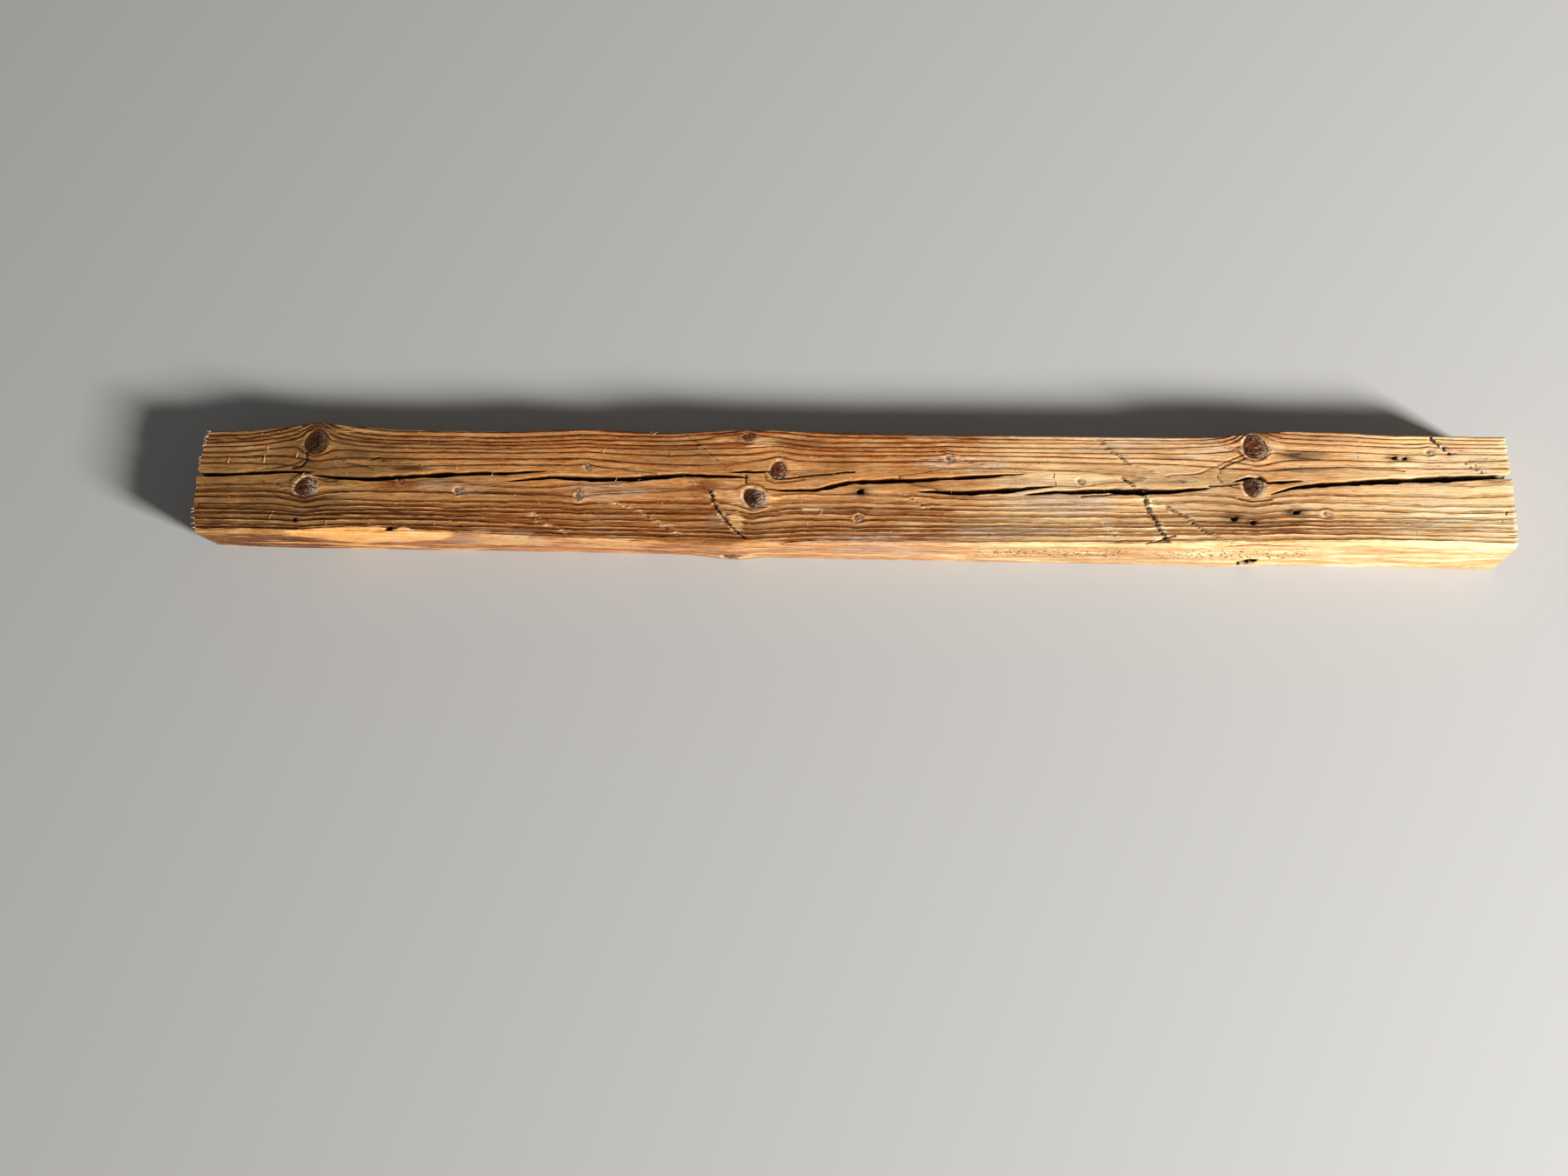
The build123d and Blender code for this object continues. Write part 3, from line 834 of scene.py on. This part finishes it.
def softwood(colours):
    """Old spruce, hewn, dried and brushed: soft pale wood worn down between hard dark rings."""
    material = bpy.data.materials.new("weathered_softwood")
    tree = emptied(material)
    node = partial(add, tree)

    def graded(source, low, high, strength, least=0.0, most=1.0):
        """Runs from least at low to most at high, and is then weighed by its strength."""
        spread = node("MapRange", source, low, high, least, most)
        return node("Math", spread, strength, operation="MULTIPLY")

    place = node("TexCoord", out=3)
    value = {name: node("Attribute", out=2, attribute_name=name) for name in ATTRIBUTES}
    noise = {}
    for name, (size, detail) in GRAINS.items():
        mapped = node("Mapping", place, named={"Scale": [1 / (side * MM) for side in size]})
        noise[name] = node(
            "TexNoise", mapped, named={"Scale": 1.0, "Detail": detail, "Roughness": 0.6}
        )

    # Each ring darkens slowly outwards to a hard line about 1 mm wide, and starts pale at once.
    wobble = node("MapRange", noise["wobble"], 0.3, 0.7, -0.5, 0.5)
    wobble = node("Math", wobble, value["gap"], operation="DIVIDE")
    ring = node("Math", value["ring"], wobble, operation="ADD")
    part = node("Math", ring, operation="FRACT")
    number = node("Math", ring, operation="FLOOR")
    chance = node("TexWhiteNoise", named={"W": number}, noise_dimensions="1D")
    left_over = node("Math", 1.0, part, operation="SUBTRACT")
    to_line = node("Math", left_over, value["gap"], operation="MULTIPLY")
    fall = node("MapRange", to_line, 0.0, 0.3)
    bands = {}
    for name, narrow, wide, end, on_side in (
        ("amber", 3.2, 6.5, 0.9, 0.35), ("late", 1.3, 2.5, 0.4, 0.2)
    ):
        width = node("MapRange", chance, 0.0, 1.0, narrow, wide)
        band = node("MapRange", to_line, width, end, interpolation_type="SMOOTHSTEP")
        band = node("Math", band, fall, operation="MULTIPLY")
        flat = node("MapRange", value["side"], 0.0, 1.0, 1.0, on_side)
        bands[name] = node("Math", band, flat, operation="MULTIPLY")
    # Where the cut runs nearly along a ring, its line is wide and faint.
    faint = node("MapRange", value["gap"], 8.0, 24.0, 1.0, 0.45)
    patchy = graded(noise["streak"], 0.3, 0.6, faint, 0.45, 1.1)
    dark = node("Math", bands["late"], patchy, operation="MULTIPLY", use_clamp=True)
    amber = node("Math", bands["amber"], faint, operation="MULTIPLY")

    # Each part of a ring goes from dull brown at the stained end over honey to straw.
    tinted = node("Math", noise["cloud"], 0.5, value["freshness"], operation="MULTIPLY_ADD")
    warm = node("MapRange", tinted, 0.25, 0.75)
    light = node("MapRange", tinted, 0.75, 1.25)
    paints = dict(colours)
    for kind in WOOD_COLOURS:
        fresher = ((warm, "honey_" + kind), (light, "straw_" + kind))
        paints[kind] = layered(tree, paints, "dull_" + kind, fresher)

    # The front side shows long lens-shaped patches, where the cut runs along the rings.
    masks = {}
    for name, grain, low, high, where in (
        ("lens", "lens", 0.5, 0.62, "side"), ("cream", "lens", 0.44, 0.36, "side"),
        ("worm", "pit", 0.61, 0.65, "worm"),
    ):
        masks[name] = graded(noise[grain], low, high, value[where])

    # Masks for what lies over the wood, each broken up by the grain.
    broken = node("MapRange", noise["fibre"], 0.35, 0.65, -0.3, 0.3)
    for name, low, high in (
        ("red", 0.0, 1.2), ("haze", 0.0, 1.2), ("pale", 0.2, 0.75), ("stain", 0.05, 1.05)
    ):
        ragged = node("Math", broken, value[name], operation="ADD")
        present = node("MapRange", value[name], 0.0, 0.1)
        masks[name] = graded(ragged, low, high, present)

    # Knots: fine rings of their own inside a rim, split by cracks that run to the middle;
    # the rim and the cracks are painted dark as shade.
    within = node("CombineXYZ", value["knot_u"], value["knot_v"], value["knot_tone"])
    swirl = node("TexNoise", within, named={"Scale": 1.7, "Detail": 3})
    swirl = node("MapRange", swirl, 0.3, 0.7, -1.0, 1.0)
    edge = node("MapRange", noise["grit"], 0.3, 0.7, -0.5, 0.5)
    rim = node("Math", value["knot"], edge, operation="ADD")
    # Small knots are fainter than large ones.
    strong = node("MapRange", value["knot_size"], 3.0, 9.0, 0.55, 1.0)
    masks["knot"] = graded(rim, 0.5, -0.5, strong)
    swirled = node("Math", swirl, 1.8, value["knot"], operation="MULTIPLY_ADD")
    round_ring = node("Math", swirled, 1.5, operation="PINGPONG")
    round_ring = node("MapRange", round_ring, 0.3, 0.9, 0.9, 0.0)
    outwards = node("VectorMath", within, out=1, operation="LENGTH")
    heart = node("MapRange", outwards, 0.9, 0.3, 0.0, 0.6)
    outwards = node("Math", outwards, value["knot_size"], operation="MULTIPLY")
    angle = node("Math", value["knot_v"], value["knot_u"], operation="ARCTAN2")
    turned = node("Math", value["knot_split"], 9.0, swirl, operation="MULTIPLY_ADD")
    turned = node("Math", angle, 1.5, turned, operation="MULTIPLY_ADD")
    spoke = node("Math", turned, operation="SINE")
    spoke = node("Math", spoke, operation="ABSOLUTE")
    spoke = node("Math", spoke, outwards, operation="MULTIPLY")
    inner = node("MapRange", value["knot"], -1.5, -3.0)
    spoke = graded(spoke, 1.5, 0.7, inner)
    torn_side = node("Math", value["knot_u"], 0.25, noise["chip"], operation="MULTIPLY_ADD")
    torn_side = graded(torn_side, 0.55, 0.66, value["knot_split"], most=0.75)
    paints["knot"] = layered(tree, paints, "brown_knot", (
        (value["knot_tone"], "red_knot"), (heart, "knot_ring"), (round_ring, "knot_ring"),
        (torn_side, "splinter"), (spoke, "tar"),
    ))

    # Round a split knot the wood is torn and pale for part of the way, and its rim is painted dark
    # as shade.
    part_way = node("MapRange", swirl, -0.2, 0.5)
    pale_rim = node("MapRange", value["knot_split"], 0.1, 0.5)
    around = graded(rim, 4.0, 2.4, part_way, most=0.85)
    for share in (strong, pale_rim):
        around = node("Math", around, share, operation="MULTIPLY")
    near_rim = node("Math", rim, operation="ABSOLUTE")
    rim_shade = graded(swirl, -1.0, 0.6, strong, 0.95, 0.35)
    dark_rim = graded(near_rim, 1.5, 0.5, rim_shade)

    # Painted shade in hair cracks, in the broken dark line of each axe mark, below a check's lips
    # and in the knot hole.
    crack = node("Math", edge, 0.4, value["crack"], operation="MULTIPLY_ADD")
    crack = graded(crack, 1.3, 0.6, value["ink"])
    notch = node("Math", edge, 1.0, value["notch"], operation="MULTIPLY_ADD")
    gaps = node("Math", bands["amber"], 0.45, value["torn"], operation="MULTIPLY_ADD")
    gaps = node("Math", noise["fleck"], 1.2, gaps, operation="MULTIPLY_ADD")
    gaps = node("MapRange", gaps, 1.1, 1.7)
    notch = graded(notch, 1.5, 0.7, gaps)
    cleft = node("Math", edge, 0.3, value["cleft"], operation="MULTIPLY_ADD")
    cleft = node("MapRange", cleft, 0.35, 0.75)
    specks = node("MapRange", noise["chip"], 0.7, 0.74, 0.0, 0.6)
    dashes = node("MapRange", noise["dash"], 0.64, 0.72, 0.0, 0.8)

    # Fibre by fibre the wood is darker and richer, or paler: its colour to a power shows both.
    fleck = node("MapRange", noise["fleck"], 0.3, 0.7, 1.2, 0.82)
    shade = graded(noise["fibre"], 0.3, 0.7, fleck, 1.55, 0.6)
    # The front half of the top face is painted a little paler, as painted light.
    across = node("SeparateXYZ", place, out=1)
    front = node("MapRange", across, *(edge * MM for edge in FRONT_LIGHT_BAND), 0.0, 0.2)
    front = node("Mix", value["side"], named={2: front, 3: 0.0}, data_type="FLOAT")
    front = node("Math", front, 1.0, operation="ADD")
    paints["stain"] = layered(tree, paints, "grime", ((masks["stain"], "iron"),))
    wood = layered(tree, paints, "soft", (
        (value["side"], "side"), (amber, "amber"), (dark, "ring"), (masks["lens"], "lens"),
        (masks["cream"], "fresh"), (masks["red"], "red"), (masks["haze"], "haze"),
        (masks["pale"], "fresh"),
    ))
    wood = node("Gamma", wood, shade)
    paints["wood"] = node("VectorMath", wood, named={"Scale": front}, operation="SCALE")
    # Over it lie the knots and stains, and painted shade in woodworm pits, knot cracks and rims,
    # axe-mark lines, hair cracks and checks.
    wood = layered(tree, paints, "wood", (
        (dashes, "ring"), (specks, "splinter"), (masks["worm"], "tar"), (around, "splinter"),
        (masks["knot"], "knot"), (dark_rim, "tar"), (masks["stain"], "stain"), (notch, "tar"),
        (crack, "tar"), (cleft, "tar"),
    ))

    # Brushed fibres and proud rings scatter the light; hard knots keep a little sheen.
    height = node("Math", bands["late"], 0.45, operation="MULTIPLY")
    for source, amount in (
        (amber, 0.8), (noise["fibre"], 0.9), (noise["grit"], 0.3), (crack, -1.0),
        (dashes, -0.8), (spoke, -0.8), (masks["worm"], -1.0), (notch, -1.0),
    ):
        height = node("Math", source, amount, height, operation="MULTIPLY_ADD")
    bump = node("Bump", named={"Strength": 1.0, "Distance": 1.0 * MM, "Height": height})
    rough = node("MapRange", masks["knot"], 0.0, 1.0, 0.85, 0.65)
    shader = node("BsdfPrincipled", named={
        "Base Color": wood, "Roughness": rough, "Normal": bump, "IOR": 1.5,
        "Specular IOR Level": DRY_WOOD_SHEEN,
    })
    node("OutputMaterial", shader)
    return material


def torn_fibre(colours):
    """Torn fibres of the same wood: dry and pale, darker where they are thick."""
    material = bpy.data.materials.new("torn_fibre")
    tree = emptied(material)
    place = add(tree, "TexCoord", out=3)
    mapped = add(tree, "Mapping", place, named={"Scale": [1 / (side * MM) for side in (4, 1, 1)]})
    fibre = add(tree, "TexNoise", mapped, named={"Scale": 1.0, "Detail": 3})
    fibre = add(tree, "MapRange", fibre, 0.3, 0.7)
    tone = layered(tree, colours, "honey_fresh", ((fibre, "splinter"),))
    shader = add(tree, "BsdfPrincipled", named={
        "Base Color": tone, "Roughness": 0.8, "IOR": 1.5, "Specular IOR Level": DRY_WOOD_SHEEN,
    })
    add(tree, "OutputMaterial", shader)
    return material


def add_sliver(bm, thick, thin, long, tilt, turn, place):
    """Adds one four-sided sliver: half its thickness at both ends and its length, all in mm."""
    verts = bmesh.ops.create_cone(
        bm, cap_ends=True, segments=4, radius1=thick * MM, radius2=thin * MM, depth=long * MM,
    )["verts"]
    for degrees, axis in ((tilt, "Y"), (turn, "Z")):
        spin = Matrix.Rotation(math.radians(degrees), 3, axis)
        bmesh.ops.rotate(bm, verts=verts, cent=(0, 0, 0), matrix=spin)
    bmesh.ops.translate(bm, verts=verts, vec=[mm * MM for mm in place])


def splinter_mesh():
    """Splinters and curls that the axe and the brush have raised, and frayed fibres at the end."""
    rng = np.random.default_rng(8)
    lying = [(x, y, long, turn, 4) for x, y, long, turn in SPLINTERS]
    for *_, line in AXE_MARKS:
        for (x0, y0), (x1, y1) in zip(line, line[1:]):
            for share in rng.uniform(0, 1, 4):
                x, y = x0 + (x1 - x0) * share + rng.uniform(-1, 6), y0 + (y1 - y0) * share
                lying.append((x, y, rng.uniform(2, 5), rng.uniform(-40, 40), rng.uniform(8, 24)))
    for _ in range(LOOSE_SPLINTERS):
        x, y = rng.uniform(-740, 745), rng.uniform(-58, 58)
        lying.append((x, y, rng.uniform(2, 6), rng.uniform(-90, 90), rng.uniform(3, 16)))
    surface = THICKNESS + eased(RISE, [row[0] for row in lying])
    bm = bmesh.new()
    for (x, y, long, turn, lift), top in zip(lying, surface):
        half = 0.16 + 0.02 * long
        raised = min(top - 0.6 + long / 2 * math.sin(math.radians(lift)), CAD_BOX[1].z / MM - 0.4)
        add_sliver(bm, half, 0.1 * half, long, 90 - lift, turn, (x, y, raised))
    for y in FRAYED:
        end = -LENGTH / 2 + STAINED_END_BOW * (y / HALF_WIDTH) ** 2
        long = min(5.0, end + LENGTH / 2 + 1.2) * rng.uniform(0.7, 1)
        tilt, turn = -90 + rng.uniform(-25, 25), rng.uniform(-30, 30)
        place = (end + 1.4 - long / 2, y, rng.uniform(54.2, 56))
        add_sliver(bm, 0.55, 0.15, long, tilt, turn, place)
    lowest, highest = CAD_BOX
    for vert in bm.verts:
        vert.co.x = min(max(vert.co.x, lowest.x), highest.x)
        vert.co.z = min(vert.co.z, highest.z)
    return finished(bm, "splinters")


# Colours of the wood as it goes from the stained end to the pale one.
WOOD_AGES = {"dull": "at the stained end", "honey": "in the middle", "straw": "at the pale end"}
WOOD_COLOURS = {
    "soft": ("#AC7E4A", "#C68A50", "#F4D09C", "Soft wood"),
    "amber": ("#683A16", "#8E4A1A", "#E0B074", "Wood that darkens towards a ring"),
    "ring": ("#261003", "#3A1402", "#7E4214", "Rings"),
    "side": ("#764A2C", "#C68C5E", "#D8B482", "Front side"),
    "lens": ("#6A3E22", "#A0623C", "#CE9C68", "Long patches of the front side"),
    "fresh": ("#E3A35E", "#E8B478", "#EFD6AC", "Freshly split wood"),
}
COLOURS = {
    f"{age}_{kind}": (code, f"{what} {where}")
    for kind, (*codes, what) in WOOD_COLOURS.items()
    for (age, where), code in zip(WOOD_AGES.items(), codes)
}
COLOURS.update({
    "red": ("#7E4018", "Resin-rich reddish wood"),
    "haze": ("#B79C84", "Wood greyed by weather"),
    "brown_knot": ("#53351D", "Brown knots"),
    "red_knot": ("#753D20", "Red knots"),
    "knot_ring": ("#1E0D05", "Dark rings inside the knots"),
    "splinter": ("#EED0AC", "Pale torn fibres"),
    "grime": ("#4E3216", "Brown grime round the knots"),
    "iron": ("#1C1410", "Black stain of iron nails"),
    # Painted shade in cracks, checks, holes and grooves.
    "tar": ("#0E0906", "Dark inside cracks and checks"),
})


class PlankSettings(bpy.types.PropertyGroup):
    """The plank's colours."""


for _name, (_code, _what) in COLOURS.items():
    PlankSettings.__annotations__[_name] = FloatVectorProperty(
        name=_name.replace("_", " ").capitalize(), description=_what, subtype="COLOR", size=4,
        min=0, max=1, default=linear(_code),
    )


class StageSettings(bpy.types.PropertyGroup):
    """The floor, the lamp, the sky and the camera."""

    floor_colour: FloatVectorProperty(
        name="Floor", description="Colour of the plain floor", subtype="COLOR", size=4,
        min=0, max=1, default=linear("#B8B6B2"),
    )
    key_power: FloatProperty(
        name="Key lamp", description="Power of the large soft lamp", unit="POWER", default=1300,
    )
    sky_strength: FloatProperty(
        name="Sky", description="Strength of the even light from all round", default=0.13,
    )
    focal_length: FloatProperty(
        name="Lens", description="Focal length in millimetres", subtype="DISTANCE_CAMERA",
        default=27.04,
    )


def chosen_colours(context):
    """The colours that the panel gives, by name."""
    return {name: getattr(context.scene.plank_settings, name) for name in COLOURS}


class AddPlank(bpy.types.Operator):
    """Adds the plank, which stands for the CAD node."""

    bl_idname = "plank.add_plank"
    bl_label = "Plank"

    def execute(self, context):
        piece = bpy.data.objects.new("plank", plank_mesh())
        context.scene.collection.objects.link(piece)
        piece.data.materials.append(softwood(chosen_colours(context)))
        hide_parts("timber_plank")
        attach(piece, "root")
        return {"FINISHED"}


class AddSplinters(bpy.types.Operator):
    """Adds the splinters and frayed fibres of the plank."""

    bl_idname = "plank.add_splinters"
    bl_label = "Splinters"

    def execute(self, context):
        piece = bpy.data.objects.new("splinters", splinter_mesh())
        context.scene.collection.objects.link(piece)
        piece.data.materials.append(torn_fibre(chosen_colours(context)))
        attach(piece, "root")
        return {"FINISHED"}


class AddStage(bpy.types.Operator):
    """Adds the floor, the lamp, the sky and the camera."""

    bl_idname = "plank.add_stage"
    bl_label = "Stage"

    def execute(self, context):
        settings = context.scene.stage_settings
        scene = context.scene

        # The floor lies 0.3 mm below the underside, so that the two faces don't coincide.
        bm = bmesh.new()
        bmesh.ops.create_grid(bm, x_segments=1, y_segments=1, size=9)
        bmesh.ops.translate(bm, verts=bm.verts, vec=(0, 0, -0.0003))
        floor = bpy.data.objects.new("floor", finished(bm, "floor"))
        scene.collection.objects.link(floor)
        material = bpy.data.materials.new("pale_floor")
        tree = emptied(material)
        shader = add(tree, "BsdfPrincipled", named={
            "Base Color": settings.floor_colour, "Roughness": 0.9,
        })
        add(tree, "OutputMaterial", shader)
        floor.data.materials.append(material)

        # A large window to the right and a little in front lights the plank at a low angle.
        lamp = bpy.data.lights.new("window", "AREA")
        lamp.shape = "RECTANGLE"
        lamp.size, lamp.size_y = 1.2, 1.4
        lamp.energy = settings.key_power
        window = bpy.data.objects.new("window", lamp)
        window.location = (5.8, -3.06, 2.46)
        window.rotation_euler = (-window.location).to_track_quat("-Z", "Y").to_euler()
        scene.collection.objects.link(window)

        # The sky looks brighter to the camera than it shines on the plank.
        scene.world = bpy.data.worlds.new("sky")
        tree = emptied(scene.world)
        seen = add(tree, "LightPath")
        strength = add(tree, "MapRange", seen, 0.0, 1.0, settings.sky_strength, 0.8)
        sky = add(tree, "Background", (1, 1, 1, 1), strength)
        add(tree, "OutputWorld", sky)

        # The photograph was taken from 1.34 m up, nearly straight down, with a phone's lens.
        camera = bpy.data.objects.new("camera", bpy.data.cameras.new("camera"))
        camera.data.lens = settings.focal_length
        camera.data.sensor_width = 36
        camera.data.sensor_fit = "HORIZONTAL"
        turn = Matrix.Identity(3)
        for degrees, axis in ((-13.42, "X"), (3.42, "Y"), (1.64, "Z")):
            turn = turn @ Matrix.Rotation(math.radians(degrees), 3, axis)
        # The fit counted Y down the picture and Z away from the lens, and a camera counts both
        # the other way.
        flip = Matrix.Diagonal((1, -1, -1))
        place = Matrix.Translation((0.03518, -0.42623, 1.34335))
        camera.matrix_world = place @ ((turn @ flip).transposed() @ flip).to_4x4()
        scene.collection.objects.link(camera)
        scene.camera = camera
        scene.view_settings.view_transform = "Standard"
        return {"FINISHED"}


class PlankPanel(bpy.types.Panel):
    """Lists the pieces and their settings."""

    bl_idname = "VIEW3D_PT_plank"
    bl_label = "Softwood plank"
    bl_space_type = "VIEW_3D"
    bl_region_type = "UI"
    bl_category = "Plank"

    def draw(self, context):
        for operator in OPERATORS:
            self.layout.operator(operator.bl_idname)
        for group in (context.scene.plank_settings, context.scene.stage_settings):
            for name in group.__annotations__:
                self.layout.prop(group, name)


OPERATORS = (AddPlank, AddSplinters, AddStage)
CLASSES = (PlankSettings, StageSettings, *OPERATORS, PlankPanel)


def register():
    for made in CLASSES:
        bpy.utils.register_class(made)
    bpy.types.Scene.plank_settings = PointerProperty(type=PlankSettings)
    bpy.types.Scene.stage_settings = PointerProperty(type=StageSettings)


def unregister():
    del bpy.types.Scene.stage_settings
    del bpy.types.Scene.plank_settings
    for made in reversed(CLASSES):
        bpy.utils.unregister_class(made)


def main():
    register()
    bpy.ops.plank.add_plank()
    bpy.ops.plank.add_splinters()
    bpy.ops.plank.add_stage()


if __name__ == "__main__":
    main()
